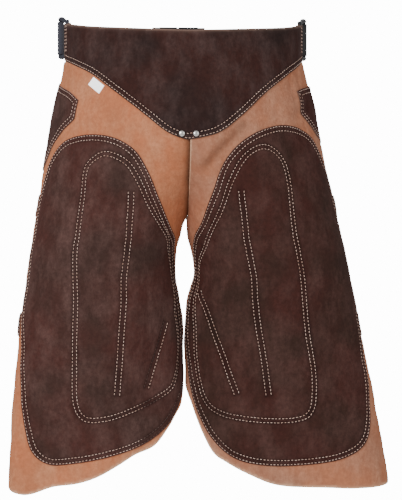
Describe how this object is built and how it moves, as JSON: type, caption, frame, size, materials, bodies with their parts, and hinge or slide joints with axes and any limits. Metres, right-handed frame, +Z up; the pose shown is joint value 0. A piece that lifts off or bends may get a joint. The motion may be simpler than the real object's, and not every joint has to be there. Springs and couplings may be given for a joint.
{
  "type": "farrier chaps",
  "caption": "Split-leg suede farrier chaps with a deep V yoke, quilted leg patches, knife pockets, leg straps and a webbing belt, in their hollow worn form.",
  "frame": {"origin": "centre of the waist ring, 5 mm below the middle of the belt's height", "axes": "+Z up towards the wearer's head, -Y the wearer's front, +X the right side as seen from the front"},
  "size_m": [0.5824, 0.2695, 0.7269],
  "materials": {
    "dark_suede": "napped dark brown suede",
    "tan_suede": "napped tan suede",
    "navy_webbing": "woven webbing",
    "black_webbing": "woven webbing",
    "moulded_plastic": "moulded, satin",
    "nickel": "polished nickel",
    "white_tape": "woven tape"
  },
  "bodies": {
    "root": {"buckle_plug": "moulded_plastic", "buckle_socket": "moulded_plastic", "left_belt": "navy_webbing", "left_belt_loop": "moulded_plastic", "left_knife_pocket": "dark_suede", "left_leg_patch": "dark_suede", "left_lower_strap_base": "dark_suede", "left_lower_strap_inner": "black_webbing", "left_lower_strap_outer": "black_webbing", "left_panel": "tan_suede", "left_rivet": "nickel", "left_upper_strap_base": "dark_suede", "left_upper_strap_inner": "black_webbing", "left_upper_strap_outer": "black_webbing", "right_belt": "black_webbing", "right_belt_loop": "moulded_plastic", "right_knife_pocket": "dark_suede", "right_leg_patch": "dark_suede", "right_lower_strap_base": "dark_suede", "right_lower_strap_inner": "black_webbing", "right_lower_strap_outer": "black_webbing", "right_panel": "tan_suede", "right_rivet": "nickel", "right_upper_strap_base": "dark_suede", "right_upper_strap_inner": "black_webbing", "right_upper_strap_outer": "black_webbing", "size_tab": "white_tape", "yoke": "dark_suede"}
  },
  "joints": []
}
